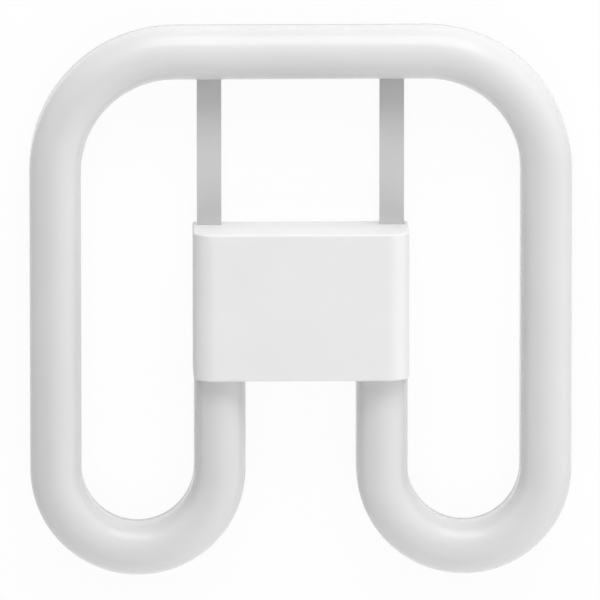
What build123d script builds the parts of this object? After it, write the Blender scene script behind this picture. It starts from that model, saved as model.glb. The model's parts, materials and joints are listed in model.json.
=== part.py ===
from build123d import *
from math import atan2, degrees
import os

# Overall size, and how the tube runs in it
lamp_width = 138.0
lamp_height = 141.0
corner_radius = 30.4          # centreline of the two upper corners
tube_width = 13.1
tube_depth = 13.5
leg_inset = 0.2               # the inner legs leave the cap this far inside its sides

# Diffuser: an opal shell with a half-round front, open at the back
diffuser_wall = 1.2
seam_chamfer = 0.25
shoulder_thickness = 1.2
spigot_length = 7.0
spigot_wall = 1.0

# Backing strip that closes the tube from behind
backing_thickness = 2.0
backing_round = 0.8
rib_height = 1.2

# Cap cover: a five-sided box with two rounded upright edges
cap_width = 54.8
cap_height = 37.7
cap_corner_radius = 5.3
cap_edge_fillet = 0.45
cover_wall = 1.5
cover_front = 1.8

# Recess for the lampholder's nose, with its four contact pins
socket_width = 26.0
socket_height = 21.0
socket_depth = 9.0
socket_corner = 2.5
socket_wall = 1.4
socket_floor = 1.5
clip_groove_length = 8.0
clip_groove_height = 2.5
clip_groove_depth = 0.7
clip_groove_z = 3.0
pin_spacing_x = 7.92
pin_spacing_y = 6.35
pin_diameter = 2.35
pin_length = 7.6
pin_tip_round = 0.9
pin_shank_diameter = 2.8      # where a pin is pressed through the recess's floor
pin_collar_diameter = 3.8
pin_collar = 1.2
pin_tail_diameter = 1.2
pin_tail_rise = 0.8

# Tray, snap tongues and the posts that hold the driver board
tray_floor = 2.0
core_wall = 1.3
tongue_width = 6.0
tongue_thickness = 1.2
tongue_height = 8.0
hook_reach = 0.5
hook_height = 1.4
post_diameter = 4.0
post_inset = 2.6

# Straps from the cap to the top run
strap_width = 6.2
strap_thickness = 2.5
strap_inset = 1.05            # from the cap's side to the strap's outer edge
strap_lap = 1.5               # thickness of the tongue that runs on behind the top run
strap_lap_length = 9.0
strap_end_round = 2.0
strap_groove_depth = 1.2
strap_groove_wall = 1.3
strap_groove_end = 3.0

# Light-emitting strips
led_board_width = 7.0
led_board_thickness = 1.0
led_board_gap = 0.6           # between the two strips at the middle of the top run
led_pitch = 9.4
led_length = 3.5
led_width = 2.8
led_height = 0.7
led_window_margin = 0.5
led_window_depth = 0.15
led_margin = 6.0              # from a strip's joined end to its first package
link_length = 5.0
link_width = 3.6
link_height = 2.2
link_round = 0.45

# Driver board and what stands on it
board_thickness = 1.2
board_margin = 1.0
board_corner = 1.5
component_room = 6.3
row_inset = 5.2               # from the board's upper edge to the first row of components
column_x = 12.0               # left and right columns of components
input_can_diameter = 6.3
input_can_length = 11.0
input_can_pitch = 2.5           # between its two leads
output_can_diameter = 5.0
output_can_length = 9.0
output_can_pitch = 2.0
can_round = 0.5
can_groove_depth = 0.3
can_groove_width = 0.8
can_groove_inset = 1.6
lead_diameter = 0.6
lead_reach = 1.1
resistor_diameter = 3.0
resistor_length = 7.5
resistor_waist = 0.35
rectifier_length = 4.7
rectifier_width = 3.9
rectifier_height = 2.4
chip_length = 4.9
chip_width = 3.9
chip_height = 1.5
diode_length = 4.4
diode_width = 2.7
diode_height = 2.1
package_chamfer = 0.3
package_foot = 0.8
package_foot_width = 0.5
package_foot_height = 0.4
diode_foot_width = 1.5
choke_diameter = 8.0
choke_height = 7.5
choke_flange = 1.2
choke_core_diameter = 3.6
choke_winding_gap = 0.5       # from the winding's face to the flange's rim
wire_diameter = 1.2
wire_bend = 2.0
wire_lap = 2.5

# Clearances
fit_gap = 0.15                # between mouldings that slip into each other
bore_gap = 0.05               # around a pin in its hole
touch_gap = 0.1               # between a round body and the flat that it lies along

# Worked out from the sizes above
tube_radius = tube_width / 2
outer_leg_x = lamp_width / 2 - tube_radius
inner_leg_x = cap_width / 2 - leg_inset - tube_radius
top_run_y = lamp_height / 2 - tube_radius
bend_y = -top_run_y + (outer_leg_x - inner_leg_x) / 2
corner_x = outer_leg_x - corner_radius
corner_y = top_run_y - corner_radius

roof_z = socket_depth + socket_floor
board_z = roof_z + pin_collar
board_top_z = board_z + board_thickness
cover_inner_z = board_top_z + component_room
cap_depth = cover_inner_z + cover_front
tube_back = (cap_depth - tube_depth) / 2
backing_front = tube_back + backing_thickness
dome_z = tube_back + tube_depth - tube_radius
led_board_front = backing_front + led_board_thickness

inner_half_x = cap_width / 2 - cover_wall
inner_half_y = cap_height / 2 - cover_wall
tray_half_x = inner_half_x - fit_gap
tray_half_y = inner_half_y - fit_gap
shoulder_y = -cap_height / 2 - fit_gap
spigot_end_y = shoulder_y + spigot_length
spigot_radius = tray_half_x - inner_leg_x
well_half_x = socket_width / 2 + socket_wall
well_half_y = socket_height / 2 + socket_wall
bay_x = (well_half_x + inner_half_x) / 2

strap_x = cap_width / 2 - strap_inset - strap_width / 2
strap_back = tube_back - strap_lap
strap_front = strap_back + strap_thickness
strap_top_y = top_run_y - tube_radius

board_half_x = inner_half_x - board_margin
board_top_y = inner_half_y - board_margin
board_bottom_y = spigot_end_y + board_margin
board_mid_y = (board_top_y + board_bottom_y) / 2
row_y = board_top_y - row_inset
upper_posts = [(side * (board_half_x - post_inset), board_top_y - post_inset) for side in (-1, 1)]
lower_posts = [(side * (well_half_x - post_inset), board_bottom_y + post_inset) for side in (-1, 1)]
walls = [((side, 0, 0), inner_half_x) for side in (-1, 1)]
walls += [((0, side, 0), inner_half_y) for side in (-1, 1)]


def half_centreline(side, leg_end_y, top_end_x):
    """The middle of one half of the tube, from its leg's end to a point on the top run."""
    with BuildLine() as line:
        Line((side * inner_leg_x, leg_end_y), (side * inner_leg_x, bend_y))
        TangentArc((side * inner_leg_x, bend_y), (side * outer_leg_x, bend_y), tangent=(0, -1))
        Line((side * outer_leg_x, bend_y), (side * outer_leg_x, corner_y))
        TangentArc((side * outer_leg_x, corner_y), (side * corner_x, top_run_y), tangent=(0, 1))
        Line((side * corner_x, top_run_y), (side * top_end_x, top_run_y))
    return line.wire()


def centreline(leg_end_y):
    """The middle of the whole tube, from the left leg's end round to the right leg's end."""
    halves = [half_centreline(side, leg_end_y, 0) for side in (-1, 1)]
    return Wire([edge for half in halves for edge in half.edges()])


def arch(half_width, base_z, mode=Mode.ADD):
    """Half-round front on straight sides, drawn in a plane whose second axis is the lamp's Z."""
    with BuildLine() as outline:
        Polyline((half_width, dome_z), (half_width, base_z), (-half_width, base_z), (-half_width, dome_z))
        TangentArc((-half_width, dome_z), (half_width, dome_z), tangent=(0, 1))
    make_face(outline.edges(), mode=mode)


def leg_plane(x, y):
    """A plane across a leg, facing down the leg, with the lamp's X and Z as its own axes."""
    return Plane(origin=(x, y, 0), x_dir=(1, 0, 0), z_dir=(0, -1, 0))


def wall_plane(outward):
    """An upright plane through the lamp's middle, its x towards one wall of the cap and its y along Z."""
    return Plane(origin=(0, 0, 0), x_dir=outward, z_dir=Vector(outward).cross(Vector(0, 0, 1)))


# Diffuser
with BuildPart() as diffuser:
    with BuildSketch(leg_plane(-inner_leg_x, shoulder_y)) as wall_section:
        arch(tube_radius, backing_front)
        chamfer(wall_section.vertices().group_by(Axis.Y)[0], seam_chamfer)
        arch(tube_radius - diffuser_wall, backing_front, mode=Mode.SUBTRACT)
    sweep(path=centreline(shoulder_y))
    for x in (-inner_leg_x, inner_leg_x):
        with BuildSketch(leg_plane(x, shoulder_y)) as shoulder_section:
            arch(tube_radius, backing_front)
            chamfer(shoulder_section.vertices().group_by(Axis.Y)[0], seam_chamfer)
            arch(spigot_radius - spigot_wall, backing_front, mode=Mode.SUBTRACT)
        extrude(amount=shoulder_thickness)
        with BuildSketch(leg_plane(x, shoulder_y)):
            arch(spigot_radius, backing_front)
            arch(spigot_radius - spigot_wall, backing_front, mode=Mode.SUBTRACT)
        extrude(amount=-spigot_length)

# Rear base: backing strip, tray, lampholder recess and straps in one moulding
with BuildPart() as rear_base:
    with BuildSketch(Plane.XY.offset(tube_back)):
        trace(centreline(shoulder_y), line_width=tube_width)
    extrude(amount=backing_thickness)
    rear_rim = rear_base.faces().sort_by(Axis.Z)[0].edges()
    fillet(rear_rim.filter_by(lambda edge: edge.length > tube_width + fit_gap), backing_round)
    rib_path = centreline(shoulder_y - shoulder_thickness - fit_gap)
    with BuildSketch(Plane.XY.offset(backing_front)):
        trace(rib_path, line_width=2 * (tube_radius - diffuser_wall - fit_gap))
        trace(rib_path, line_width=led_board_width + 2 * fit_gap, mode=Mode.SUBTRACT)
    extrude(amount=rib_height)
    with BuildSketch():
        Rectangle(2 * tray_half_x, 2 * tray_half_y)
    extrude(amount=tray_floor)
    # Feet through which the legs and the straps leave the cap
    with BuildSketch():
        for side in (-1, 1):
            with Locations((side * inner_leg_x, shoulder_y)):
                Rectangle(2 * spigot_radius, spigot_length, align=(Align.CENTER, Align.MIN))
    extrude(amount=backing_front)
    with BuildSketch():
        for side in (-1, 1):
            with Locations((side * inner_leg_x, -tray_half_y)):
                core_length = spigot_end_y + tray_half_y - core_wall
                Rectangle(2 * (spigot_radius - core_wall), core_length, align=(Align.CENTER, Align.MIN))
    extrude(amount=tube_back, mode=Mode.SUBTRACT)
    with BuildSketch():
        for side in (-1, 1):
            with Locations((side * strap_x, cap_height / 2)):
                Rectangle(strap_width, cover_wall + fit_gap, align=(Align.CENTER, Align.MAX))
            with Locations((side * tray_half_x, tray_half_y)):
                foot_width = tray_half_x - strap_x + strap_width / 2
                Rectangle(foot_width, strap_width,
                          align=(Align.MIN if side < 0 else Align.MAX, Align.MAX))
    extrude(amount=strap_front)
    # Straps, with a tongue behind the top run and a groove along their backs
    with BuildSketch(Plane.XY.offset(strap_back)):
        for side in (-1, 1):
            with Locations((side * strap_x, cap_height / 2)):
                Rectangle(strap_width, strap_top_y - cap_height / 2 + backing_round + fit_gap,
                          align=(Align.CENTER, Align.MIN))
    extrude(amount=strap_thickness)
    with BuildSketch(Plane.XY.offset(strap_back)) as tongues:
        for side in (-1, 1):
            with Locations((side * strap_x, strap_top_y)):
                Rectangle(strap_width, strap_lap_length, align=(Align.CENTER, Align.MIN))
        fillet(tongues.vertices().group_by(Axis.Y)[-1], strap_end_round)
    extrude(amount=strap_lap)
    with BuildSketch(Plane.XY.offset(strap_back)):
        for side in (-1, 1):
            with Locations((side * strap_x, cap_height / 2 + strap_groove_end)):
                groove_length = strap_top_y - cap_height / 2 - 2 * strap_groove_end
                Rectangle(strap_width - 2 * strap_groove_wall, groove_length,
                          align=(Align.CENTER, Align.MIN))
    extrude(amount=strap_groove_depth, mode=Mode.SUBTRACT)
    # Recess for the lampholder
    with BuildSketch():
        RectangleRounded(2 * well_half_x, 2 * well_half_y, socket_corner + socket_wall)
    extrude(amount=roof_z)
    with BuildSketch():
        RectangleRounded(socket_width, socket_height, socket_corner)
    extrude(amount=socket_depth, mode=Mode.SUBTRACT)
    for side in (-1, 1):
        with Locations((side * socket_width / 2, 0, clip_groove_z)):
            Box(2 * clip_groove_depth, clip_groove_length, clip_groove_height,
                align=(Align.CENTER, Align.CENTER, Align.MIN), mode=Mode.SUBTRACT)
    with BuildSketch(Plane.XY.offset(socket_depth)):
        with GridLocations(pin_spacing_x, pin_spacing_y, 2, 2):
            Circle(pin_shank_diameter / 2 + bore_gap)
    extrude(amount=socket_floor, mode=Mode.SUBTRACT)
    # Posts under the driver board, the lower two on the recess's roof
    with BuildSketch():
        with Locations(*upper_posts):
            Circle(post_diameter / 2)
    extrude(amount=board_z)
    with BuildSketch(Plane.XY.offset(roof_z)):
        with Locations(*lower_posts):
            Circle(post_diameter / 2)
    extrude(amount=board_z - roof_z)
    # Snap tongues against the four walls of the cover
    for outward, inner_half in walls:
        reach = inner_half - fit_gap
        with BuildSketch(wall_plane(outward)):
            with BuildLine():
                Polyline(
                    (reach - tongue_thickness, 0),
                    (reach - tongue_thickness, tongue_height),
                    (reach, tongue_height),
                    (reach + hook_reach, tongue_height - hook_height),
                    (reach, tongue_height - hook_height),
                    (reach, 0),
                    close=True,
                )
            make_face()
        extrude(amount=tongue_width / 2, both=True)

# Cap cover
with BuildPart() as cap_cover:
    with BuildSketch(Plane.XZ) as front_view:
        with Locations((0, cap_depth)):
            Rectangle(cap_width, cap_depth, align=(Align.CENTER, Align.MAX))
        fillet(front_view.vertices().group_by(Axis.Y)[-1], cap_corner_radius)
    extrude(amount=cap_height / 2, both=True)
    for end in cap_cover.faces().filter_by(Axis.Y):
        fillet(end.edges().sort_by(Axis.Z)[1:], cap_edge_fillet)
    with BuildSketch(Plane.XZ) as hollow_view:
        with Locations((0, cover_inner_z)):
            Rectangle(2 * inner_half_x, cover_inner_z, align=(Align.CENTER, Align.MAX))
        fillet(hollow_view.vertices().group_by(Axis.Y)[-1], cap_corner_radius - cover_wall)
    extrude(amount=inner_half_y, both=True, mode=Mode.SUBTRACT)
    # Ways out for the legs and the straps, open to the rear rim
    for side in (-1, 1):
        with BuildSketch(leg_plane(side * inner_leg_x, -cap_height / 2)):
            arch(spigot_radius + fit_gap, 0)
        extrude(amount=-cover_wall, mode=Mode.SUBTRACT)
        with Locations((side * strap_x, cap_height / 2, 0)):
            Box(strap_width + 2 * fit_gap, 2 * (cover_wall + 2 * fit_gap), strap_front + fit_gap,
                align=(Align.CENTER, Align.CENTER, Align.MIN), mode=Mode.SUBTRACT)
    # Pockets for the snap tongues
    for outward, inner_half in walls:
        with BuildSketch(wall_plane(outward)):
            with Locations((inner_half, tongue_height + fit_gap)):
                Rectangle(2 * hook_reach, hook_height + 2 * fit_gap, align=(Align.CENTER, Align.MAX))
        extrude(amount=tongue_width / 2 + fit_gap, both=True, mode=Mode.SUBTRACT)
    # Posts that hold the driver board down
    with BuildSketch(Plane.XY.offset(board_top_z + touch_gap)):
        with Locations(*upper_posts, *lower_posts):
            Circle(post_diameter / 2)
    extrude(until=Until.NEXT)

# Contact pins
with BuildPart() as contact_pins:
    with GridLocations(pin_spacing_x, pin_spacing_y, 2, 2):
        with Locations((0, 0, socket_depth - pin_length)):
            Cylinder(pin_diameter / 2, pin_length, align=(Align.CENTER, Align.CENTER, Align.MIN))
        with Locations((0, 0, socket_depth)):
            Cylinder(pin_shank_diameter / 2, socket_floor, align=(Align.CENTER, Align.CENTER, Align.MIN))
        with Locations((0, 0, roof_z)):
            Cylinder(pin_collar_diameter / 2, pin_collar, align=(Align.CENTER, Align.CENTER, Align.MIN))
        with Locations((0, 0, board_z)):
            Cylinder(pin_tail_diameter / 2, board_thickness + pin_tail_rise,
                     align=(Align.CENTER, Align.CENTER, Align.MIN))
    fillet(contact_pins.edges().group_by(Axis.Z)[0], pin_tip_round)


def led_strip(side):
    """One flat strip along half of the tube."""
    path = half_centreline(side, spigot_end_y, led_board_gap / 2)
    with BuildPart() as board:
        with BuildSketch(Plane.XY.offset(backing_front)):
            trace(path, line_width=led_board_width)
        extrude(amount=led_board_thickness)
    return board


def led_row(side):
    """Light-emitting packages at an even pitch along one strip, from outside the cap to the joined end."""
    path = half_centreline(side, shoulder_y - shoulder_thickness - led_length, led_margin)
    count = int(path.length / led_pitch) + 1
    places = []
    for index in range(count):
        place = path.position_at(index / (count - 1))
        along = path.tangent_at(index / (count - 1))
        turn = degrees(atan2(along.Y, along.X))
        places.append(Location((place.X, place.Y, led_board_front), (0, 0, turn)))
    with BuildPart() as row:
        with Locations(*places):
            Box(led_length, led_width, led_height, align=(Align.CENTER, Align.CENTER, Align.MIN))
            with Locations((0, 0, led_height)):
                Box(led_length - 2 * led_window_margin, led_width - 2 * led_window_margin,
                    2 * led_window_depth, mode=Mode.SUBTRACT)
    return row


# Light-emitting strips and the link between them
led_board_left = led_strip(-1)
led_board_right = led_strip(1)
leds_left = led_row(-1)
leds_right = led_row(1)
with BuildPart() as board_link:
    with BuildSketch(Plane.XY.offset(led_board_front)):
        with Locations((0, top_run_y)):
            Rectangle(link_length, link_width)
    extrude(amount=link_height)
    fillet(board_link.edges().filter_by(Axis.Z), link_round)

# Driver board
with BuildPart() as driver_board:
    with BuildSketch(Plane.XY.offset(board_z)):
        with Locations((0, board_mid_y)):
            RectangleRounded(2 * board_half_x, board_top_y - board_bottom_y, board_corner)
        with GridLocations(pin_spacing_x, pin_spacing_y, 2, 2):
            Circle(pin_tail_diameter / 2 + bore_gap, mode=Mode.SUBTRACT)
    extrude(amount=board_thickness)


def can_capacitor(plane, diameter, length, pitch):
    """A lying can with a crimped groove, whose two leads turn to the board; the plane's x runs along it."""
    with BuildPart() as can:
        with BuildSketch(plane):
            with BuildLine():
                Polyline(
                    (-length / 2, 0),
                    (-length / 2, diameter / 2),
                    (can_groove_inset - can_groove_width / 2 - length / 2, diameter / 2),
                    (can_groove_inset - length / 2, diameter / 2 - can_groove_depth),
                    (can_groove_inset + can_groove_width / 2 - length / 2, diameter / 2),
                    (length / 2 - can_round, diameter / 2),
                    (length / 2, diameter / 2 - can_round),
                    (length / 2, 0),
                    close=True,
                )
            make_face()
        revolve(axis=Axis(plane.origin, plane.x_dir))
        for side in (-1, 1):
            start = plane.from_local_coords(Vector(-length / 2, 0, side * pitch / 2))
            corner = start - plane.x_dir * lead_reach
            end = corner + plane.y_dir * (diameter / 2 + touch_gap)
            with BuildLine() as lead:
                FilletPolyline(start, corner, end, radius=lead_diameter)
            with BuildSketch(Plane(origin=start, z_dir=-plane.x_dir)):
                Circle(lead_diameter / 2)
            sweep(path=lead.wire())
    return can


# Capacitors: one in the bay beside the recess, one above the board
input_capacitor = can_capacitor(
    Plane(origin=(-bay_x, board_mid_y, board_z - touch_gap - input_can_diameter / 2),
          x_dir=(0, 1, 0), z_dir=(1, 0, 0)),
    input_can_diameter, input_can_length, input_can_pitch)
output_capacitor = can_capacitor(
    Plane(origin=(column_x, row_y, board_top_z + touch_gap + output_can_diameter / 2),
          x_dir=(1, 0, 0), z_dir=(0, 1, 0)),
    output_can_diameter, output_can_length, output_can_pitch)

# Fuse resistor, waisted between its two end caps
with BuildPart() as fuse_resistor:
    resistor_z = board_top_z + touch_gap + resistor_diameter / 2
    with BuildSketch(Plane(origin=(-column_x, row_y, resistor_z), x_dir=(1, 0, 0), z_dir=(0, -1, 0))):
        with BuildLine():
            Polyline((resistor_length / 2, resistor_diameter / 2), (resistor_length / 2, 0),
                     (-resistor_length / 2, 0), (-resistor_length / 2, resistor_diameter / 2))
            ThreePointArc((-resistor_length / 2, resistor_diameter / 2),
                          (0, resistor_diameter / 2 - resistor_waist),
                          (resistor_length / 2, resistor_diameter / 2))
        make_face()
    revolve(axis=Axis((-column_x, row_y, resistor_z), (1, 0, 0)))
    for side in (-1, 1):
        start = Vector(-column_x + side * resistor_length / 2, row_y, resistor_z)
        corner = start + Vector(side * lead_reach, 0, 0)
        end = Vector(corner.X, row_y, board_top_z)
        with BuildLine() as lead:
            FilletPolyline(start, corner, end, radius=lead_diameter)
        with BuildSketch(Plane(origin=start, z_dir=(side, 0, 0))):
            Circle(lead_diameter / 2)
        sweep(path=lead.wire())


def flat_package(x, y, length, width, height, foot_count, foot_width):
    """A moulded package on the board, chamfered round its top, with feet along two sides."""
    with BuildPart() as package:
        with BuildSketch(Plane.XY.offset(board_top_z)):
            with Locations((x, y)):
                Rectangle(length, width)
        extrude(amount=height)
        chamfer(package.faces().sort_by(Axis.Z)[-1].edges(), package_chamfer)
        with BuildSketch(Plane.XY.offset(board_top_z)):
            with Locations((x, y)):
                with GridLocations(length / foot_count, width, foot_count, 2):
                    Rectangle(foot_width, 2 * package_foot)
        extrude(amount=package_foot_height)
    return package


# Flat packages
bridge_rectifier = flat_package(
    -column_x, row_y - row_inset - rectifier_width,
    rectifier_length, rectifier_width, rectifier_height, 2, package_foot_width)
driver_chip = flat_package(
    column_x, row_y - row_inset - chip_width,
    chip_length, chip_width, chip_height, 4, package_foot_width)
freewheel_diode = flat_package(
    0, row_y, diode_length, diode_width, diode_height, 1, diode_foot_width)

# Choke: a drum core and its winding, hung under the board in the free bay
choke_place = Plane.XY.offset(board_z)
with BuildPart() as choke_core:
    with BuildSketch(choke_place):
        with Locations((bay_x, board_mid_y)):
            Circle(choke_diameter / 2)
    extrude(amount=-choke_flange)
    with BuildSketch(choke_place):
        with Locations((bay_x, board_mid_y)):
            Circle(choke_core_diameter / 2)
    extrude(amount=-choke_height)
    with BuildSketch(choke_place.offset(choke_flange - choke_height)):
        with Locations((bay_x, board_mid_y)):
            Circle(choke_diameter / 2)
    extrude(amount=-choke_flange)
with BuildPart() as choke_winding:
    with BuildSketch(choke_place.offset(-choke_flange)):
        with Locations((bay_x, board_mid_y)):
            Circle(choke_diameter / 2 - choke_winding_gap)
            Circle(choke_core_diameter / 2, mode=Mode.SUBTRACT)
    extrude(amount=2 * choke_flange - choke_height)


def led_lead(side):
    """The lead from the driver board's underside to the end of one strip."""
    x = side * inner_leg_x
    lie_z = led_board_front + wire_diameter / 2
    turn_y = spigot_end_y + board_margin + wire_bend
    start = Vector(x, spigot_end_y - wire_lap, lie_z)
    with BuildPart() as wire:
        with BuildLine() as route:
            FilletPolyline(start, (x, turn_y, lie_z), (x, turn_y, board_z), radius=wire_bend)
        with BuildSketch(Plane(origin=start, z_dir=(0, 1, 0))):
            Circle(wire_diameter / 2)
        sweep(path=route.wire())
    return wire


# Leads to the strips
led_wire_left = led_lead(-1)
led_wire_right = led_lead(1)

# Every piece under its own name
pieces = {
    "diffuser": diffuser,
    "rear_base": rear_base,
    "cap_cover": cap_cover,
    "contact_pins": contact_pins,
    "led_board_left": led_board_left,
    "led_board_right": led_board_right,
    "leds_left": leds_left,
    "leds_right": leds_right,
    "board_link": board_link,
    "driver_board": driver_board,
    "input_capacitor": input_capacitor,
    "output_capacitor": output_capacitor,
    "fuse_resistor": fuse_resistor,
    "bridge_rectifier": bridge_rectifier,
    "driver_chip": driver_chip,
    "freewheel_diode": freewheel_diode,
    "choke_core": choke_core,
    "choke_winding": choke_winding,
    "led_wire_left": led_wire_left,
    "led_wire_right": led_wire_right,
}
os.makedirs("parts", exist_ok=True)
for name, piece in pieces.items():
    piece.part.label = name
    export_step(piece.part, f"parts/{name}.step")
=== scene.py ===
# %% [markdown]
# # A square LED lamp
# A flat lamp for a square fitting: one opal tube, bent into a loop, starts and ends at a white block cap.
# Two straps tie the cap to the top run, and the cap hides the driver and its contact pins. The lamp lies
# on its back, so the tube's half-round front looks up at the camera.
#
# The solids are loaded first, as a fixed frame in metres. Everything below is placed by that frame, and
# the box that is measured here is the size that the finished model keeps.

# %% Load the solids
import json
from math import cos, pi, radians, sin

import bpy
from mathutils import Matrix, Vector


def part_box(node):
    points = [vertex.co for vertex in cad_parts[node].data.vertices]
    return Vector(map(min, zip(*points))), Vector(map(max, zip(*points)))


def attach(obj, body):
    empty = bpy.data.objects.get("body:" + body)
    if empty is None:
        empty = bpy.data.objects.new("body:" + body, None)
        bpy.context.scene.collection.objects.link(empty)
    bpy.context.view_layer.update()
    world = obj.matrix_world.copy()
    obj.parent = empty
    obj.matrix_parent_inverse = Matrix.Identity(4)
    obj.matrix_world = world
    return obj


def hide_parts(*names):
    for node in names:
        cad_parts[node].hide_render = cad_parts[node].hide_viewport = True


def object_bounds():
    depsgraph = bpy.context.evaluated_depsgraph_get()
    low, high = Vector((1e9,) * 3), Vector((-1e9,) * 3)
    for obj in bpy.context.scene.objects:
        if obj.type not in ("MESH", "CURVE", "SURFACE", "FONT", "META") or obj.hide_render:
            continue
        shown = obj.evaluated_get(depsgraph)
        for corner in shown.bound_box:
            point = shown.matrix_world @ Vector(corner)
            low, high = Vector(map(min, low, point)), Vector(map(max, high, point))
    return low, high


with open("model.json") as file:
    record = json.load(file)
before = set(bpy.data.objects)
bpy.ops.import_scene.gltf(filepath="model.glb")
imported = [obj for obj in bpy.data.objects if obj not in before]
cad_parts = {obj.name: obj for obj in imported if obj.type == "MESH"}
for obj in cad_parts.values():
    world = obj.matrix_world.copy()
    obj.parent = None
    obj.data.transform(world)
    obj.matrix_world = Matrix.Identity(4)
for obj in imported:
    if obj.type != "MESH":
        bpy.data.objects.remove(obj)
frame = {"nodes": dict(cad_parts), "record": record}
cad_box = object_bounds()
lamp_size = cad_box[1] - cad_box[0]
MM = 0.001
print("solids:", len(frame["nodes"]), "size in mm:", [round(side / MM, 1) for side in lamp_size])

# %% [markdown]
# ## Building node trees
# Both the shapes and the finishes below are node trees that the script builds. Three small helpers keep
# that readable. The first adds a node with its settings, and for each input it either sets a value or,
# where it is given another node's output, draws a link. The others do sums, and pick one coordinate.

# %% Helpers for node trees
def add(tree, kind, inputs=None, **settings):
    """A new node of a tree, with its settings, and its inputs set or linked by name or number."""
    node = tree.nodes.new(kind)
    for key, value in settings.items():
        setattr(node, key, value)
    for key, value in (inputs or {}).items():
        if isinstance(value, bpy.types.NodeSocket):
            tree.links.new(value, node.inputs[key])
        else:
            node.inputs[key].default_value = value
    return node


def calc(tree, operation, first, second=0.0):
    """The result of an operation on two numbers or outputs."""
    return add(tree, "ShaderNodeMath", {0: first, 1: second}, operation=operation).outputs[0]


def coordinate(tree, vector, axis):
    """The X, Y or Z of a vector."""
    return add(tree, "ShaderNodeSeparateXYZ", {"Vector": vector}).outputs[axis]


print("helpers:", add.__name__, calc.__name__, coordinate.__name__)

# %% [markdown]
# ## Finishes of the outside
# All that the photograph shows is moulded plastic. A real moulding is never one flat colour: the mould's
# surface leaves a fine grain, the gloss changes a little from place to place, and the material has faint
# clouds. Image textures could show that, but noise in the object's own coordinates follows any shape and
# needs no unwrapping. One function makes every moulded finish, from its two shades, its gloss and the size
# of its grain.

# %% Moulded plastic
cloud_range = (0.3, 0.7)
cloud_detail = 3.0
grain_detail = 4.0


def shader_of(material):
    """The main shader of a finish."""
    return material.node_tree.nodes["Principled BSDF"]


def new_finish(name):
    """A new material, its tree, its shader and the object's own coordinates."""
    material = bpy.data.materials.new(name)
    material.use_nodes = True
    tree = material.node_tree
    place = add(tree, "ShaderNodeTexCoord").outputs["Object"]
    return material, tree, shader_of(material), place


def shades_of(tree, place, dark, light, patch):
    """A colour that drifts between two shades, in clouds about as large as the patch."""
    clouds = add(tree, "ShaderNodeTexNoise", {"Vector": place, "Scale": 1 / patch, "Detail": cloud_detail})
    ramp = add(tree, "ShaderNodeValToRGB", {"Fac": clouds.outputs["Fac"]})
    for stop, position, shade in zip(ramp.color_ramp.elements, cloud_range, (dark, light)):
        stop.position = position
        stop.color = (*shade, 1)
    return ramp.outputs["Color"]


def grain_on(tree, shader, place, size, depth, smooth, rough):
    """Mould grain of a given size and depth, with a gloss that drifts between two values."""
    grain = add(tree, "ShaderNodeTexNoise", {"Vector": place, "Scale": 1 / size, "Detail": grain_detail})
    height = grain.outputs["Fac"]
    relief = add(tree, "ShaderNodeBump", {"Height": height, "Distance": depth, "Strength": 1.0})
    gloss = add(tree, "ShaderNodeMapRange", {"Value": height, "To Min": smooth, "To Max": rough})
    tree.links.new(relief.outputs["Normal"], shader.inputs["Normal"])
    tree.links.new(gloss.outputs["Result"], shader.inputs["Roughness"])


def moulded(name, dark, light, patch, grain, depth, smooth, rough):
    """A plastic finish of two near shades, with mould grain."""
    material, tree, shader, place = new_finish(name)
    tree.links.new(shades_of(tree, place, dark, light, patch), shader.inputs["Base Color"])
    grain_on(tree, shader, place, grain, depth, smooth, rough)
    return material


def grey(value):
    """A neutral colour."""
    return (value, value, value)


print("makers of finishes:", new_finish.__name__, shades_of.__name__, grain_on.__name__, moulded.__name__)

# %% [markdown]
# The diffuser is the glossiest piece, because opal polycarbonate is moulded in a polished tool. The cap is
# a brighter white with a fine satin grain and little sheen, so its flat front stays even. The rear base is
# the same kind of plastic, made a little greyer as painted shade, for the shade on its straps deep behind
# the tube and the cap.

# %% The three white plastics
opal = moulded(
    "opal_polycarbonate", grey(0.655), grey(0.675),
    patch=25 * MM, grain=0.9 * MM, depth=0.002 * MM, smooth=0.14, rough=0.2,
)
satin_white = moulded(
    "satin_white", grey(0.78), grey(0.8),
    patch=20 * MM, grain=0.35 * MM, depth=0.006 * MM, smooth=0.4, rough=0.48,
)
# The rear base's grey is partly painted shade: darker than the cap's white to stand in for the shade on its
# straps.
rear_shaded_white = moulded(
    "rear_shaded_white", grey(0.56), grey(0.59),
    patch=20 * MM, grain=0.3 * MM, depth=0.008 * MM, smooth=0.45, rough=0.55,
)
satin_sheen = 0.15
shader_of(satin_white).inputs["Specular IOR Level"].default_value = satin_sheen
print("moulded finishes:", opal.name, satin_white.name, rear_shaded_white.name)

# %% [markdown]
# ## The opal diffuser
# On the real lamp the diffuser is one moulding of opal polycarbonate: a half-round front on straight
# walls, open at the back, where the rear base closes it. It could be modelled as a bent cylinder, but a
# sweep says what it is: one section that follows one line. The line is a polyline of eight points, and a
# Fillet Curve node rounds its corners. Where two corners share one short run, a radius of half that run
# makes the U-bend.
#
# The tube's run is read from the boxes of the solids: the diffuser's box gives the outline, and the cap's
# box gives the legs, because the inner legs leave the cap just inside its two sides. Only the section, the
# walls and the corner radius are written here, since no box shows them.

# %% The line that the tube follows
tube_radius = 6.55 * MM
tube_wall = 1.2 * MM
corner_radius = 30.4 * MM
leg_inset = 0.2 * MM
fit_gap = 0.15 * MM

shell_low, shell_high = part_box("diffuser")
cap_low, cap_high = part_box("cap_cover")
outer_leg_x = shell_high.x - tube_radius
inner_leg_x = cap_high.x - leg_inset - tube_radius
bend_radius = (outer_leg_x - inner_leg_x) / 2
shoulder_y = cap_low.y - fit_gap


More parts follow.
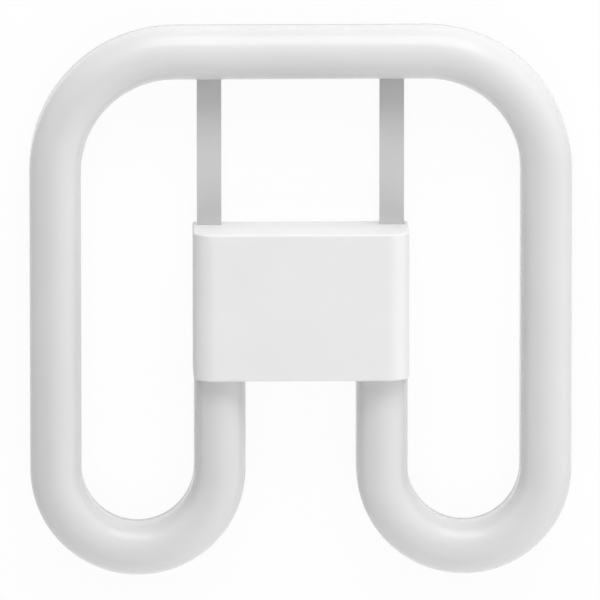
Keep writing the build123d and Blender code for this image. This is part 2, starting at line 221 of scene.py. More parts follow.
def tube_line():
    """Corners of the tube's line, from the left leg's end round to the right leg's end."""
    bottom_y = shell_low.y + tube_radius
    left = [
        (-inner_leg_x, shoulder_y, 0),
        (-inner_leg_x, bottom_y, 0),
        (-outer_leg_x, bottom_y, 0),
        (-outer_leg_x, shell_high.y - tube_radius, 0),
    ]
    right = [(-x, y, z) for x, y, z in reversed(left)]
    return left + right


def new_object(name, points=(), edges=(), faces=()):
    """An object in the scene, with a mesh of these points, edges and faces."""
    mesh = bpy.data.meshes.new(name)
    mesh.from_pydata(points, edges, faces)
    made = bpy.data.objects.new(name, mesh)
    bpy.context.scene.collection.objects.link(made)
    return made


def new_line(name, points):
    """An object in the scene that is a line through these points, for a tree to start from."""
    return new_object(name, points, edges=[(i, i + 1) for i in range(len(points) - 1)])


corners = tube_line()
diffuser = new_line("diffuser_shell", corners)
print("legs in mm from the middle:", round(inner_leg_x / MM, 2), round(outer_leg_x / MM, 2))

# %% [markdown]
# The section is a rectangle with its two front corners rounded until they meet. The outer section makes a
# solid rod. A thinner one, on a longer line, makes the spigots that slip into the cap. Two more sections
# are then cut out of both: the core, which stops short of the ends and so leaves shoulders, and the
# spigots' bore. All four follow the same line, and only its ends move.
#
# The tree's sizes are named inputs, so the shell can be changed without reading its nodes.

# %% Inputs of the shell's tree
def new_shape(name, sizes, counts):
    """A tree for a modifier, with named sizes and counts, and the sockets that they feed."""
    tree = bpy.data.node_groups.new(name, "GeometryNodeTree")
    tree.interface.new_socket("Geometry", in_out="INPUT", socket_type="NodeSocketGeometry")
    tree.interface.new_socket("Geometry", in_out="OUTPUT", socket_type="NodeSocketGeometry")
    for label in sizes:
        tree.interface.new_socket(label, in_out="INPUT", socket_type="NodeSocketFloat")
    for label in counts:
        tree.interface.new_socket(label, in_out="INPUT", socket_type="NodeSocketInt")
    tree.interface.new_socket("Finish", in_out="INPUT", socket_type="NodeSocketMaterial")
    return tree, add(tree, "NodeGroupInput").outputs


shell_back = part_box("led_board_left")[0].z
straight_wall = 4.95 * MM
cover_wall = 1.5 * MM
shell_sizes = {
    "Tube radius": tube_radius,
    "Wall": tube_wall,
    "Back": shell_back,
    "Dome": shell_back + straight_wall,
    "Seam round": 0.25 * MM,
    "Corner radius": corner_radius,
    "Bend radius": bend_radius,
    "Shoulder": 1.2 * MM,
    "Spigot radius": cap_high.x - cover_wall - fit_gap - inner_leg_x,
    "Spigot wall": 1.0 * MM,
    "Spigot length": 7.0 * MM,
}
shell_counts = {"Bend steps": 40, "Core steps": 37, "Section steps": 24}
shell_tree, shell_in = new_shape("opal_shell", shell_sizes, shell_counts)
print("inputs of the shell's tree:", list(shell_sizes) + list(shell_counts))

# %% [markdown]
# The line and the section both start with sharp corners, and the same node rounds them. Curve handles could
# give such arcs too, but a fillet takes a radius in metres, as a drawing does. In the middle of a U-bend two
# fillets meet and leave two points in one place, where a sweep would make two rings that cross. So the
# points of the rounded line are merged before anything follows it.

# %% The rounded line and the rounded section
same_place = 0.001 * MM


def radius_by_side(tree, ahead, behind):
    """One radius for the points with a positive Y, and another for the rest."""
    y = coordinate(tree, add(tree, "GeometryNodeInputPosition").outputs["Position"], "Y")
    is_ahead = add(tree, "FunctionNodeCompare", {"A": y, "B": 0.0}, operation="GREATER_THAN").outputs[0]
    chosen = {"Switch": is_ahead, "True": ahead, "False": behind}
    return add(tree, "GeometryNodeSwitch", chosen, input_type="FLOAT").outputs[0]


def rounded(tree, curve, steps, radius):
    """A curve with its corners rounded."""
    inputs = {"Curve": curve, "Count": steps, "Radius": radius, "Limit Radius": True}
    return add(tree, "GeometryNodeFilletCurve", inputs, mode="POLY").outputs[0]


def merged(tree, mesh):
    """A mesh without doubled points."""
    inputs = {"Geometry": mesh, "Distance": same_place}
    return add(tree, "GeometryNodeMergeByDistance", inputs).outputs[0]


def with_single_points(tree, curve):
    """A curve in which two arcs that meet share one point."""
    edges = add(tree, "GeometryNodeCurveToMesh", {"Curve": curve}).outputs[0]
    return add(tree, "GeometryNodeMeshToCurve", {"Mesh": merged(tree, edges)}).outputs[0]


def line_with_ends_moved(tree, sockets, shift, steps):
    """The tube's line, its two ends moved along the legs, with upright normals."""
    line = add(tree, "GeometryNodeMeshToCurve", {"Mesh": sockets["Geometry"]}).outputs[0]
    ends = add(tree, "GeometryNodeCurveEndpointSelection").outputs[0]
    offset = add(tree, "ShaderNodeCombineXYZ", {"Y": shift}).outputs[0]
    moved = add(tree, "GeometryNodeSetPosition", {"Geometry": line, "Selection": ends, "Offset": offset})
    radius = radius_by_side(tree, sockets["Corner radius"], sockets["Bend radius"])
    curve = with_single_points(tree, rounded(tree, moved.outputs[0], steps, radius))
    return add(tree, "GeometryNodeSetCurveNormal", {"Curve": curve}, mode="Z_UP").outputs[0]


def arch_section(tree, sockets, radius, back, back_round):
    """A section with a half-round front of a given radius, from its back to the top of its arch."""
    top = calc(tree, "ADD", sockets["Dome"], radius)
    height = calc(tree, "SUBTRACT", top, back)
    width = calc(tree, "MULTIPLY", radius, 2.0)
    plate = add(tree, "GeometryNodeCurvePrimitiveQuadrilateral", {"Width": width, "Height": height})
    corner = radius_by_side(tree, radius, back_round)
    arch = rounded(tree, plate.outputs[0], sockets["Section steps"], corner)
    middle = calc(tree, "MULTIPLY", calc(tree, "ADD", top, back), -0.5)
    place = add(tree, "ShaderNodeCombineXYZ", {"Y": middle}).outputs[0]
    # A swept section has its Y towards the floor, so it is turned half round
    turned = {"Geometry": arch, "Translation": place, "Rotation": (0, 0, pi)}
    return add(tree, "GeometryNodeTransform", turned).outputs[0]


def swept(tree, line, section):
    """A solid that follows a line, with closed ends and no doubled points."""
    inputs = {"Curve": line, "Profile Curve": section, "Fill Caps": True}
    return merged(tree, add(tree, "GeometryNodeCurveToMesh", inputs).outputs[0])


print("points are merged when nearer than, in mm:", same_place / MM)

# %% [markdown]
# Now the four rods are made, and two Boolean nodes join the outer pair and cut the inner pair out of it. A
# Solidify modifier could make a wall too, but not the shoulders and the thinner spigots. The Manifold solver
# is chosen, because it keeps closed solids closed. The inner rods take other steps round the bends than the
# outer ones: with the same steps their edges would cross exactly, and the cut would leave slivers.

# %% Rod, spigots, core and bore
sharp_edge = radians(30)


def shell_rods(tree, sockets):
    """The two solids that are joined, and the two that are cut out of them."""
    radius, spigot = sockets["Tube radius"], sockets["Spigot radius"]
    back, spigot_length = sockets["Back"], sockets["Spigot length"]
    below = calc(tree, "SUBTRACT", back, sockets["Wall"])
    beyond = calc(tree, "ADD", spigot_length, sockets["Wall"])
    inside = calc(tree, "MULTIPLY", sockets["Shoulder"], -1.0)
    core_radius = calc(tree, "SUBTRACT", radius, sockets["Wall"])
    bore_radius = calc(tree, "SUBTRACT", spigot, sockets["Spigot wall"])
    outer_steps, core_steps = sockets["Bend steps"], sockets["Core steps"]
    joined, cut = [], []
    for rods, steps, shift, size, foot, foot_round in (
        (joined, outer_steps, 0.0, radius, back, sockets["Seam round"]),
        (joined, outer_steps, spigot_length, spigot, back, 0.0),
        (cut, core_steps, inside, core_radius, below, 0.0),
        (cut, core_steps, beyond, bore_radius, below, 0.0),
    ):
        line = line_with_ends_moved(tree, sockets, shift, steps)
        rods.append(swept(tree, line, arch_section(tree, sockets, size, foot, foot_round)))
    return joined, cut


def finish_shape(tree, sockets, mesh, sharp_angle):
    """The end of a tree: real geometry, sharp edges where faces meet at an angle, and a finish."""
    real = add(tree, "GeometryNodeRealizeInstances", {"Geometry": mesh}).outputs[0]
    angle = add(tree, "GeometryNodeInputMeshEdgeAngle").outputs["Unsigned Angle"]
    is_smooth = add(tree, "FunctionNodeCompare", {"A": angle, "B": sharp_angle}, operation="LESS_THAN")
    round_faces = add(tree, "GeometryNodeSetShadeSmooth", {"Geometry": real}, domain="FACE").outputs[0]
    edged = {"Geometry": round_faces, "Shade Smooth": is_smooth.outputs[0]}
    shaded = add(tree, "GeometryNodeSetShadeSmooth", edged, domain="EDGE").outputs[0]
    coated = add(tree, "GeometryNodeSetMaterial", {"Geometry": shaded, "Material": sockets["Finish"]})
    add(tree, "NodeGroupOutput", {"Geometry": coated.outputs[0]})


joined_rods, cut_rods = shell_rods(shell_tree, shell_in)
body = add(shell_tree, "GeometryNodeMeshBoolean", operation="UNION", solver="MANIFOLD")
shell = add(shell_tree, "GeometryNodeMeshBoolean", {"Mesh 1": body.outputs[0]}, solver="MANIFOLD")
for boolean, rods in ((body, joined_rods), (shell, cut_rods)):
    for rod in rods:
        shell_tree.links.new(rod, boolean.inputs["Mesh 2"])
finish_shape(shell_tree, shell_in, shell.outputs[0], sharp_edge)
print("nodes in the shell's tree:", len(shell_tree.nodes))

# %% [markdown]
# A modifier runs the tree. Its inputs are set by the sockets' identifiers before the first evaluation.
# The result is then turned into a plain mesh and the modifier goes, because the model that leaves this
# script holds meshes only. The finished shell stands for the diffuser's solid.

# %% Make the shell
def grow(piece, tree, values, finish):
    """Runs a tree on a piece with these values, and leaves its result as the piece's own mesh."""
    modifier = piece.modifiers.new(tree.name, "NODES")
    modifier.node_group = tree
    named = {item.name: item.identifier for item in tree.interface.items_tree if item.in_out == "INPUT"}
    for label, value in {**values, "Finish": finish}.items():
        modifier[named[label]] = value
    evaluated = piece.evaluated_get(bpy.context.evaluated_depsgraph_get())
    mesh = bpy.data.meshes.new_from_object(evaluated)
    mesh.name = piece.name
    piece.modifiers.clear()
    piece.data = mesh
    print(piece.name, "faces:", len(mesh.polygons))


grow(diffuser, shell_tree, {**shell_sizes, **shell_counts}, opal)
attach(diffuser, "root")
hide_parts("diffuser")

# %% [markdown]
# ## Finishes with two materials
# The parts inside the cap and the tube never show while the lamp is whole, but they are real parts, and on
# a bench they do. Many of them join two materials in one solid: a painted strip has bare edges, a black
# package has tinned feet, a can has a bright end. Such a solid could be split, but it is one part. A mask
# from the object's own coordinates puts each material where it belongs.

# %% Masks and layered finishes
def under(axis, limit):
    """Says where a coordinate lies under a limit."""
    return lambda tree, place: calc(tree, "LESS_THAN", coordinate(tree, place, axis), limit)


def outside(axis, low, high):
    """Says where a coordinate lies outside a range."""
    def mask(tree, place):
        value = coordinate(tree, place, axis)
        below, above = calc(tree, "LESS_THAN", value, low), calc(tree, "GREATER_THAN", value, high)
        return calc(tree, "MAXIMUM", below, above)
    return mask


def between(axis, low, high):
    """Says where a coordinate lies inside a range."""
    return lambda tree, place: calc(tree, "SUBTRACT", 1.0, outside(axis, low, high)(tree, place))


def two_tone(tree, mask, first, second):
    """The first colour, and the second one where the mask is 1."""
    return add(tree, "ShaderNodeMix", {0: mask, 6: first, 7: second}, data_type="RGBA").outputs[2]


cloud_size = 4 * MM
fine_grain = 0.15 * MM
fine_depth = 0.003 * MM


def layered(name, coat, core, core_where, metal_core, smooth, rough):
    """A coat, and the core under it where the mask says so; each is a pair of shades."""
    material, tree, shader, place = new_finish(name)
    mask = core_where(tree, place)
    first, second = (shades_of(tree, place, *pair, cloud_size) for pair in (coat, core))
    tree.links.new(two_tone(tree, mask, first, second), shader.inputs["Base Color"])
    if metal_core:
        tree.links.new(mask, shader.inputs["Metallic"])
    grain_on(tree, shader, place, fine_grain, fine_depth, smooth, rough)
    return material


def metal(name, dark, light, smooth, rough):
    """A metal all through, of two near shades."""
    finish = moulded(name, dark, light, cloud_size, fine_grain, fine_depth, smooth, rough)
    shader_of(finish).inputs["Metallic"].default_value = 1.0
    return finish


print("kinds of inner finish:", layered.__name__, metal.__name__)

# %% [markdown]
# The strips under the diffuser are aluminium with a white solder mask on the front, so that they throw
# light forwards. The driver board is glass laminate with a green mask on both faces, and its cut edges
# stay straw-coloured. Both could be split into layers, but height alone tells the layers apart.

# %% Strips and driver board
skin = 0.04 * MM
aluminium = (grey(0.62), grey(0.7))
strip_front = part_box("led_board_left")[1].z
strip_white = ((0.83, 0.83, 0.81), (0.87, 0.87, 0.85))
strip_edge = under("Z", strip_front - skin)
strip_finish = layered(
    "strip_board", strip_white, aluminium, strip_edge, metal_core=True, smooth=0.35, rough=0.5
)

board_low, board_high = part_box("driver_board")
mask_green = ((0.02, 0.12, 0.05), (0.03, 0.17, 0.07))
laminate = ((0.42, 0.38, 0.2), (0.5, 0.45, 0.26))
board_edge = between("Z", board_low.z + skin, board_high.z - skin)
board_finish = layered(
    "circuit_board", mask_green, laminate, board_edge, metal_core=False, smooth=0.3, rough=0.42
)
print("board faces in mm:", [round(z / MM, 2) for z in (strip_front, board_low.z, board_high.z)])

# %% [markdown]
# The pins are plated brass, and the choke's drum is sintered ferrite with a coarse, dull surface. The link
# between the strips and the leads' insulation are small plastic mouldings. Each shows one material only,
# so no mask is needed, and the makers from above give it a finer grain than the outside has.

# %% Pins, link, leads and ferrite
small_cloud = 3 * MM
ferrite_cloud = 0.8 * MM


def small_plastic(name, dark, light, smooth, rough):
    """A plastic finish for a small part."""
    return moulded(name, dark, light, small_cloud, fine_grain, fine_depth, smooth, rough)


pin_plating = metal("pin_plating", (0.6, 0.56, 0.46), (0.72, 0.68, 0.57), smooth=0.2, rough=0.34)
link_ivory = small_plastic("link_ivory", (0.72, 0.7, 0.6), (0.77, 0.75, 0.65), smooth=0.4, rough=0.5)
wire_red = small_plastic("wire_red", (0.42, 0.02, 0.015), (0.5, 0.03, 0.02), smooth=0.3, rough=0.42)
wire_black = small_plastic("wire_black", grey(0.012), grey(0.02), smooth=0.3, rough=0.42)
ferrite = moulded(
    "ferrite", grey(0.02), grey(0.05),
    patch=ferrite_cloud, grain=fine_grain, depth=2 * fine_depth, smooth=0.5, rough=0.7,
)
print("small finishes:", [made.name for made in (pin_plating, link_ivory, wire_red, wire_black, ferrite)])

# %% [markdown]
# Capacitor cans wear a shrunk-on dark sleeve that stops short of the rounded end, and their leads are
# tinned. A package of black resin has tinned feet along two sides. Each of these gets its mask from the
# box of its own solid, so the finish follows the part if the board is laid out anew.

# %% Cans and packages
can_round = 0.5 * MM
lead_bend = 1.4 * MM
foot_reach = 0.8 * MM
tin = (grey(0.66), grey(0.74))
sleeve_dark = ((0.012, 0.014, 0.022), (0.02, 0.022, 0.032))
resin_black = (grey(0.012), grey(0.022))


def can_finish(node, axis):
    """A sleeve between the leads and the rounded end of a can that lies along an axis."""
    low, high = (getattr(corner, axis.lower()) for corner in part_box(node))
    bare = outside(axis, low + lead_bend - skin, high - can_round)
    return layered(node + "_sleeve", sleeve_dark, aluminium, bare, metal_core=True, smooth=0.2, rough=0.32)


def package_finish(node):
    """Black resin with tinned feet on the sides that look along Y."""
    low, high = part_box(node)
    feet = outside("Y", low.y + foot_reach - skin, high.y - foot_reach + skin)
    return layered(node + "_resin", resin_black, tin, feet, metal_core=True, smooth=0.4, rough=0.55)


cans = {"input_capacitor": "Y", "output_capacitor": "X"}
packages = ["bridge_rectifier", "driver_chip", "freewheel_diode"]
part_finishes = {node: can_finish(node, axis) for node, axis in cans.items()}
part_finishes.update((node, package_finish(node)) for node in packages)
print("finishes by part:", list(part_finishes))

# %% [markdown]
# The fuse resistor is dipped in a grey-green flameproof lacquer and has four colour bands. They could be
# thin rings of their own, but on the real part they are paint. A colour ramp that doesn't blend, laid along
# the body, gives bands with clean edges.

# %% Banded resistor
resistor_low, resistor_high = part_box("fuse_resistor")
body_low, body_high = resistor_low.x + lead_bend, resistor_high.x - lead_bend
lacquer = (0.16, 0.3, 0.22)
brown, black, red, gold = (0.2, 0.07, 0.02), grey(0.015), (0.6, 0.02, 0.02), (0.5, 0.36, 0.1)
# Where a band starts, and how wide it is, are shares of the body's length
band_width = 0.1
bands = [(0.14, brown), (0.34, black), (0.54, red), (0.8, gold)]


def banded_lacquer(tree, place):
    """The lacquer's colour, with bands along the body."""
    x = coordinate(tree, place, "X")
    share = add(tree, "ShaderNodeMapRange", {"Value": x, "From Min": body_low, "From Max": body_high})
    ramp = add(tree, "ShaderNodeValToRGB", {"Fac": share.outputs["Result"]})
    ramp.color_ramp.interpolation = "CONSTANT"
    stops = ramp.color_ramp.elements
    stops.remove(stops[1])
    stops[0].color = (*lacquer, 1)
    for start, paint in bands:
        stops.new(start).color = (*paint, 1)
        stops.new(start + band_width).color = (*lacquer, 1)
    return ramp.outputs["Color"]


def resistor_coat():
    """Banded lacquer on the body, and tin on the leads."""
    material, tree, shader, place = new_finish("resistor_lacquer")
    leads = outside("X", body_low, body_high)(tree, place)
    tinned = shades_of(tree, place, *tin, cloud_size)
    colour = two_tone(tree, leads, banded_lacquer(tree, place), tinned)
    tree.links.new(colour, shader.inputs["Base Color"])
    tree.links.new(leads, shader.inputs["Metallic"])
    grain_on(tree, shader, place, fine_grain, fine_depth, smooth=0.35, rough=0.5)
    return material


resistor_finish = resistor_coat()
print("bands on the resistor:", len(bands))

# %% [markdown]
# ## The rows of light-emitting packages
# Along each strip sits a row of white packages, each with a window of yellow phosphor gel sunk into its
# front. Copies could be placed one by one, but they follow the tube's own line, so a tree is the natural
# way: half of that line, rounded by the same two radii, is divided evenly, and each point gets a package
# turned along the line. The finish is yellow where a face looks up and lies under the rim.

# %% White packages with a gel window
row_low, row_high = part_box("leds_left")
row_sizes = {
    "Length": 3.5 * MM,
    "Width": 2.8 * MM,
    "Height": row_high.z - row_low.z,
    "Window margin": 0.5 * MM,
    "Window depth": 0.15 * MM,
    "Pitch": 9.4 * MM,
    "Corner radius": corner_radius,
    "Bend radius": bend_radius,
}
row_counts = {"Bend steps": shell_counts["Bend steps"]}
facing_up = 0.9


def gel_window(tree, place):
    """Says where a package's gel lies: on faces that look up, under the rim."""
    normal = add(tree, "ShaderNodeNewGeometry").outputs["Normal"]
    looks_up = calc(tree, "GREATER_THAN", coordinate(tree, normal, "Z"), facing_up)
    return calc(tree, "MULTIPLY", looks_up, under("Z", row_high.z - skin)(tree, place))


package_white = ((0.8, 0.8, 0.78), (0.84, 0.84, 0.82))
gel_yellow = ((0.8, 0.55, 0.09), (0.85, 0.62, 0.13))
led_finish = layered(
    "led_package", package_white, gel_yellow, gel_window, metal_core=False, smooth=0.25, rough=0.4
)
row_tree, row_in = new_shape("led_row", row_sizes, row_counts)
print("inputs of the row's tree:", list(row_sizes) + list(row_counts))

# %% [markdown]
# One package starts as a cube. Its top face is extruded by nothing and drawn in, which leaves a rim, and
# then it is extruded downwards, which sinks the window. A Boolean could cut the window too, but two
# extrusions give cleaner faces, and few of them, which counts in a shape that is repeated.

# %% One package, and the row
def drawn_in(tree, size, margin):
    """The share of a size that is left between two margins."""
    return calc(tree, "SUBTRACT", 1.0, calc(tree, "DIVIDE", calc(tree, "MULTIPLY", margin, 2.0), size))


def led_body(tree, sockets):
    """One package, standing on its underside, with a sunk window."""
    length, width, height = (sockets[label] for label in ("Length", "Width", "Height"))
    size = add(tree, "ShaderNodeCombineXYZ", {"X": length, "Y": width, "Z": height}).outputs[0]
    block = add(tree, "GeometryNodeMeshCube", {"Size": size}).outputs["Mesh"]
    up = coordinate(tree, add(tree, "GeometryNodeInputNormal").outputs[0], "Z")
    on_top = add(tree, "FunctionNodeCompare", {"A": up, "B": facing_up}, operation="GREATER_THAN").outputs[0]
    rim = add(tree, "GeometryNodeExtrudeMesh", {"Mesh": block, "Selection": on_top, "Offset Scale": 0.0})
    shares = [drawn_in(tree, side, sockets["Window margin"]) for side in (length, width)]
    scale = add(tree, "ShaderNodeCombineXYZ", {"X": shares[0], "Y": shares[1], "Z": 1.0}).outputs[0]
    place = add(tree, "GeometryNodeInputPosition").outputs[0]
    drawn = add(tree, "ShaderNodeVectorMath", {0: place, 1: scale}, operation="MULTIPLY").outputs[0]
    inset = {"Geometry": rim.outputs["Mesh"], "Selection": rim.outputs["Top"], "Position": drawn}
    framed = add(tree, "GeometryNodeSetPosition", inset).outputs[0]
    depth = calc(tree, "MULTIPLY", sockets["Window depth"], -1.0)
    sunk = {"Mesh": framed, "Selection": rim.outputs["Top"], "Offset Scale": depth}
    package = add(tree, "GeometryNodeExtrudeMesh", sunk).outputs["Mesh"]
    lift = add(tree, "ShaderNodeCombineXYZ", {"Z": calc(tree, "MULTIPLY", height, 0.5)}).outputs[0]
    return add(tree, "GeometryNodeTransform", {"Geometry": package, "Translation": lift}).outputs[0]


def led_row(tree, sockets):
    """Packages at even steps along a rounded line, turned to follow it."""
    line = add(tree, "GeometryNodeMeshToCurve", {"Mesh": sockets["Geometry"]}).outputs[0]
    radius = radius_by_side(tree, sockets["Corner radius"], sockets["Bend radius"])
    bent = rounded(tree, line, sockets["Bend steps"], radius)
    length = add(tree, "GeometryNodeCurveLength", {"Curve": bent}).outputs[0]
    gaps = calc(tree, "FLOOR", calc(tree, "DIVIDE", length, sockets["Pitch"]))
    count = calc(tree, "ADD", gaps, 1.0)
    spots = add(tree, "GeometryNodeResampleCurve", {"Curve": bent, "Count": count}).outputs[0]
    tangent = add(tree, "GeometryNodeInputTangent").outputs[0]
    heading = add(tree, "FunctionNodeAlignRotationToVector", {"Vector": tangent}, axis="X", pivot_axis="Z")
    copies = {"Points": spots, "Instance": led_body(tree, sockets), "Rotation": heading.outputs[0]}
    return add(tree, "GeometryNodeInstanceOnPoints", copies).outputs[0]


finish_shape(row_tree, row_in, led_row(row_tree, row_in), sharp_edge)
print("nodes in the row's tree:", len(row_tree.nodes))

# %% [markdown]
# The two rows mirror each other. A mirrored mesh would be inside out, so each row is grown by itself
# instead, from the same corners with the sign of X changed. It starts in the inner leg, near the cap, and
# ends just short of the link in the middle of the top run.

# %% Make both rows
first_package = 3.5 * MM
link_margin = 6.0 * MM
row_start_y = shoulder_y - shell_sizes["Shoulder"] - first_package
row_corners = [(-inner_leg_x, row_start_y, 0), *corners[1:4], (-link_margin, corners[3][1], 0)]
for side, sign in (("left", 1), ("right", -1)):
    row = new_line("led_row_" + side, [(sign * x, y, row_low.z) for x, y, z in row_corners])
    grow(row, row_tree, {**row_sizes, **row_counts}, led_finish)
    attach(row, "root")
    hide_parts("leds_" + side)

# %% [markdown]
# ## The choke's winding
# The choke is a drum of ferrite, wound with enamelled copper wire. The solid for the winding is a plain
# ring. Stripes in a material could suggest turns, but a Spiral curve makes real ones: each layer is a
# spiral of one radius, and a small circle swept along it is the wire.

# %% Spirals of wire
coil_low, coil_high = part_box("choke_winding")
drum_radius = 1.8 * MM
coil_layers = 4
coil_room = (coil_high.x - coil_low.x) / 2 - drum_radius
wire_size = coil_room / coil_layers
coil_sizes = {
    "Wire": wire_size,
    "Drum radius": drum_radius,
    "Coil height": coil_high.z - coil_low.z - wire_size,
    "Axis X": (coil_low.x + coil_high.x) / 2,
    "Axis Y": (coil_low.y + coil_high.y) / 2,
    "Foot": coil_low.z + wire_size / 2,
}
turn_pitch = 1.04 * wire_size
coil_counts = {"Turns": int(coil_sizes["Coil height"] / turn_pitch), "Turn steps": 32, "Wire steps": 8}
coil_tree, coil_in = new_shape("wound_coil", coil_sizes, coil_counts)
wire_edge = radians(60)


def wound_layer(tree, sockets, layer):
    """One layer of turns, from the drum outwards."""
    wire = sockets["Wire"]
    radius = calc(tree, "ADD", sockets["Drum radius"], calc(tree, "MULTIPLY", wire, layer + 0.5))
    turns = {
        "Resolution": sockets["Turn steps"],
        "Rotations": sockets["Turns"],
        "Height": sockets["Coil height"],
        "Start Radius": radius,
        "End Radius": radius,
    }
    spiral = add(tree, "GeometryNodeCurveSpiral", turns).outputs[0]
    round_wire = {"Resolution": sockets["Wire steps"], "Radius": calc(tree, "MULTIPLY", wire, 0.5)}
    return swept(tree, spiral, add(tree, "GeometryNodeCurvePrimitiveCircle", round_wire).outputs[0])


def wound_coil(tree, sockets):
    """All layers, set down on the drum's axis."""
    coil = add(tree, "GeometryNodeJoinGeometry")
    for layer in range(coil_layers):
        tree.links.new(wound_layer(tree, sockets, layer), coil.inputs[0])
    foot = {"X": sockets["Axis X"], "Y": sockets["Axis Y"], "Z": sockets["Foot"]}
    spot = add(tree, "ShaderNodeCombineXYZ", foot).outputs[0]
    return add(tree, "GeometryNodeTransform", {"Geometry": coil.outputs[0], "Translation": spot}).outputs[0]


finish_shape(coil_tree, coil_in, wound_coil(coil_tree, coil_in), wire_edge)
print("turns of wire:", coil_layers * coil_counts["Turns"])

# %% [markdown]
# Enamel is a clear varnish on bright copper. A second, clear surface could be modelled round the wire, but
# a coat in the metal's own shader gives the same look. The turns then stand for the plain ring.

# %% Make the winding
enamel_coat = 0.6
copper = metal("enamelled_copper", (0.5, 0.2, 0.07), (0.62, 0.27, 0.1), smooth=0.25, rough=0.36)
shader_of(copper).inputs["Coat Weight"].default_value = enamel_coat
winding = new_object("wound_wire")
grow(winding, coil_tree, {**coil_sizes, **coil_counts}, copper)
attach(winding, "root")
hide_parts("choke_winding")

# %% [markdown]
# ## Coating the solids
# The cap, the rear base and the rest of the parts keep their solids, which already have the true form and
# smooth normals. Their meshes could be built again with modifiers, but that would only copy them. So they
# stay as they are, and a finish is put on each.

# %% Coat the solids
finish_of_slot = {
    "cap_moulding": satin_white,
    "rear_moulding": rear_shaded_white,
    "pin_plating": pin_plating,
    "strip_board": strip_finish,
    "link_block": link_ivory,
    "circuit_board": board_finish,
    "resistor_lacquer": resistor_finish,
    "ferrite": ferrite,
    "wire_red": wire_red,
    "wire_black": wire_black,
    "opal_diffuser": opal,
    "led_package": led_finish,
    "copper_winding": copper,
}
for part in frame["record"]["subparts"]:
    node = part["node"]
    finish = part_finishes[node] if node in part_finishes else finish_of_slot[part["material_slot"]]
    coated = frame["nodes"][node].data.materials
    coated.clear()
    coated.append(finish)
print("solids with a finish:", len(frame["nodes"]))

# %% [markdown]
# ## The stage
# The lamp lies on a plain floor. In the photograph the ground is pure white, and more light could make it
# so, but that would also burn out the lamp. Instead, the floor glows white to the camera and to reflections,
# mixed with a little of a pale surface that keeps a trace of the lamp's shadow. To all other light it is a
# duller surface, so it bounces some light up at the lamp. From below, the floor lets the camera through.

# %% Floor
floor_size = 14.0
floor_depth = 0.1 * MM
floor_pale, floor_dull = 0.9, 0.75
shadow_share = 0.06
reach = floor_size / 2
floor_corners = [(x * reach, y * reach, -floor_depth) for x, y in ((-1, -1), (1, -1), (1, 1), (-1, 1))]
floor = new_object("floor", floor_corners, faces=[(0, 1, 2, 3)])


def seen_directly(tree):
    """1 for camera, glossy and transmission rays, and 0 for the light that spreads."""
    path = add(tree, "ShaderNodeLightPath").outputs
    first = calc(tree, "MAXIMUM", path["Is Camera Ray"], path["Is Glossy Ray"])
    return calc(tree, "MAXIMUM", first, path["Is Transmission Ray"])


def floor_surface():
    """White where it is seen, dull to the light that spreads, and clear from below."""
    material = bpy.data.materials.new("pale_floor")
    material.use_nodes = True
    tree = material.node_tree
    tree.nodes.clear()
    pale = add(tree, "ShaderNodeBsdfDiffuse", {"Color": (*grey(floor_pale), 1)}).outputs[0]
    dull = add(tree, "ShaderNodeBsdfDiffuse", {"Color": (*grey(floor_dull), 1)}).outputs[0]
    white = add(tree, "ShaderNodeEmission", {"Strength": 1.0}).outputs[0]
    ground = add(tree, "ShaderNodeMixShader", {0: shadow_share, 1: white, 2: pale}).outputs[0]
    front = add(tree, "ShaderNodeMixShader", {0: seen_directly(tree), 1: dull, 2: ground}).outputs[0]
    from_below = add(tree, "ShaderNodeNewGeometry").outputs["Backfacing"]
    clear = add(tree, "ShaderNodeBsdfTransparent").outputs[0]
    both_sides = add(tree, "ShaderNodeMixShader", {0: from_below, 1: front, 2: clear}).outputs[0]
    add(tree, "ShaderNodeOutputMaterial", {"Surface": both_sides})
    return material


floor.data.materials.append(floor_surface())
print("floor in metres:", floor_size)

# %% [markdown]
# Beyond the floor's edge, and in the lamp's reflections, the surround shows. It could be a white dome, but
# the world's own background does the same without a mesh. It is white where it is seen and gives no light
# otherwise, so that all shading comes from the softboxes below.

# %% Surround
world = bpy.data.worlds.new("studio")
bpy.context.scene.world = world
world.use_nodes = True
world_tree = world.node_tree
world_tree.nodes.clear()
glow = {"Color": (*grey(1), 1), "Strength": seen_directly(world_tree)}
surround = add(world_tree, "ShaderNodeBackground", glow)
add(world_tree, "ShaderNodeOutputWorld", {"Surface": surround.outputs[0]})
print("surround:", world.name)

# %% [markdown]
# ## Studio light
# The tube's highlights tell how the lamp was lit. Their crisp lower edge along the top run, and inside the
# two U-bends, is the upper edge of a wide light low behind the lamp. It is the only light that reflections
# show. A flatter light above it, also from behind, makes the shade under the cap and at the straps' ends.
# Low lights at the sides and in front reach the tube's outer walls, more of them from the right than from
# the left, and high ones in front and behind fill in the rest. Each light is a softbox: a rectangle that
# looks at the lamp from a compass direction and a height, both in degrees.

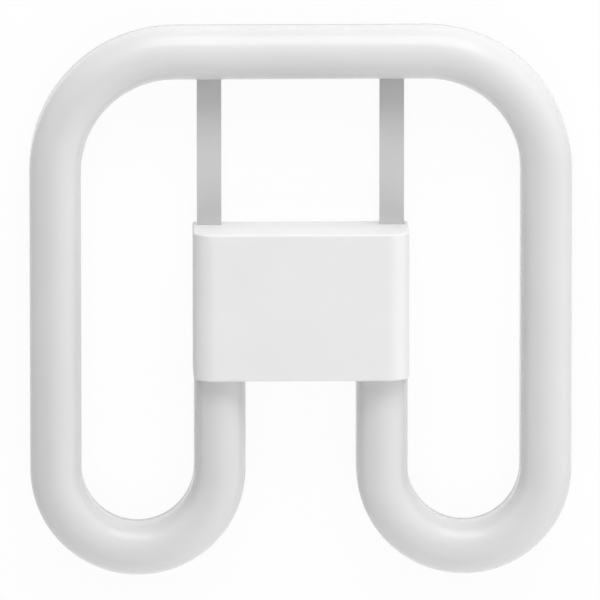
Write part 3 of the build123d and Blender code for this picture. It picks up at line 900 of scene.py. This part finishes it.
# %% Softboxes
light_distance = 1.0
softboxes = [
    # name, direction from +X towards +Y, height, width, tallness, watts, seen in reflections
    ("back", 83, 20, 0.8, 0.73, 3.2, True),
    ("back_mid", 86, 34, 1.0, 0.4, 3.8, False),
    ("back_left", 130, 20, 0.6, 0.73, 1.0, False),
    ("back_right", 45, 16, 0.8, 0.55, 2.4, False),
    ("back_high", 90, 60, 1.0, 0.65, 2.4, False),
    ("right", 5, 12, 0.8, 0.42, 2.5, False),
    ("front_right", 315, 12, 0.8, 0.42, 1.7, False),
    ("front_low", 270, 10, 0.8, 0.34, 3.5, False),
    ("front_high", 270, 60, 1.0, 0.65, 4.8, False),
    ("left_low", 180, 6, 0.9, 0.21, 1.4, False),
]


def softbox(name, compass, height, width, tallness, watts, mirrored):
    """A rectangle of light that looks at the lamp."""
    data = bpy.data.lights.new(name, "AREA")
    data.shape = "RECTANGLE"
    data.size, data.size_y = width, tallness
    data.energy = watts
    light = bpy.data.objects.new(name, data)
    turn, lift = radians(compass), radians(height)
    away = Vector((cos(turn) * cos(lift), sin(turn) * cos(lift), sin(lift)))
    facing = away.to_track_quat("Z", "Y").to_matrix().to_4x4()
    light.matrix_world = Matrix.Translation(away * light_distance) @ facing
    light.visible_camera = False
    light.visible_glossy = mirrored
    bpy.context.scene.collection.objects.link(light)
    return light


lights = [softbox(*settings) for settings in softboxes]
print("watts of light:", round(sum(light.data.energy for light in lights), 2))

# %% [markdown]
# ## The camera
# The photograph looks almost straight at the lamp's front, from a little above its top and a hair from the
# left. Edges that are parallel on the lamp stay parallel in it, so a very long lens is used from far away.
# The scale in pixels to the millimetre sets the distance.

# %% Camera
image_width = 600
pixels_per_mm = 3.93
view_tilt = radians(10)
view_turn = radians(1.3)
lens = 1000
middle_height = 10.7 * MM
shift_right, shift_up = -0.252 * MM, 0.38 * MM
right = Vector((cos(view_turn), 0, sin(view_turn)))
up = Vector((sin(view_turn) * sin(view_tilt), cos(view_tilt), -cos(view_turn) * sin(view_tilt)))
back = right.cross(up)
target = Vector((0, 0, middle_height)) + shift_right * right + shift_up * up
camera_data = bpy.data.cameras.new("camera")
camera_data.lens = lens
view_width = image_width / pixels_per_mm * MM
distance = view_width * lens / camera_data.sensor_width
camera = bpy.data.objects.new("camera", camera_data)
pose = Matrix((right, up, back)).transposed().to_4x4()
pose.translation = target + back * distance
camera.matrix_world = pose
bpy.context.scene.collection.objects.link(camera)
bpy.context.scene.camera = camera
bpy.context.scene.view_settings.view_transform = "Standard"
print("camera distance in metres:", round(distance, 2))
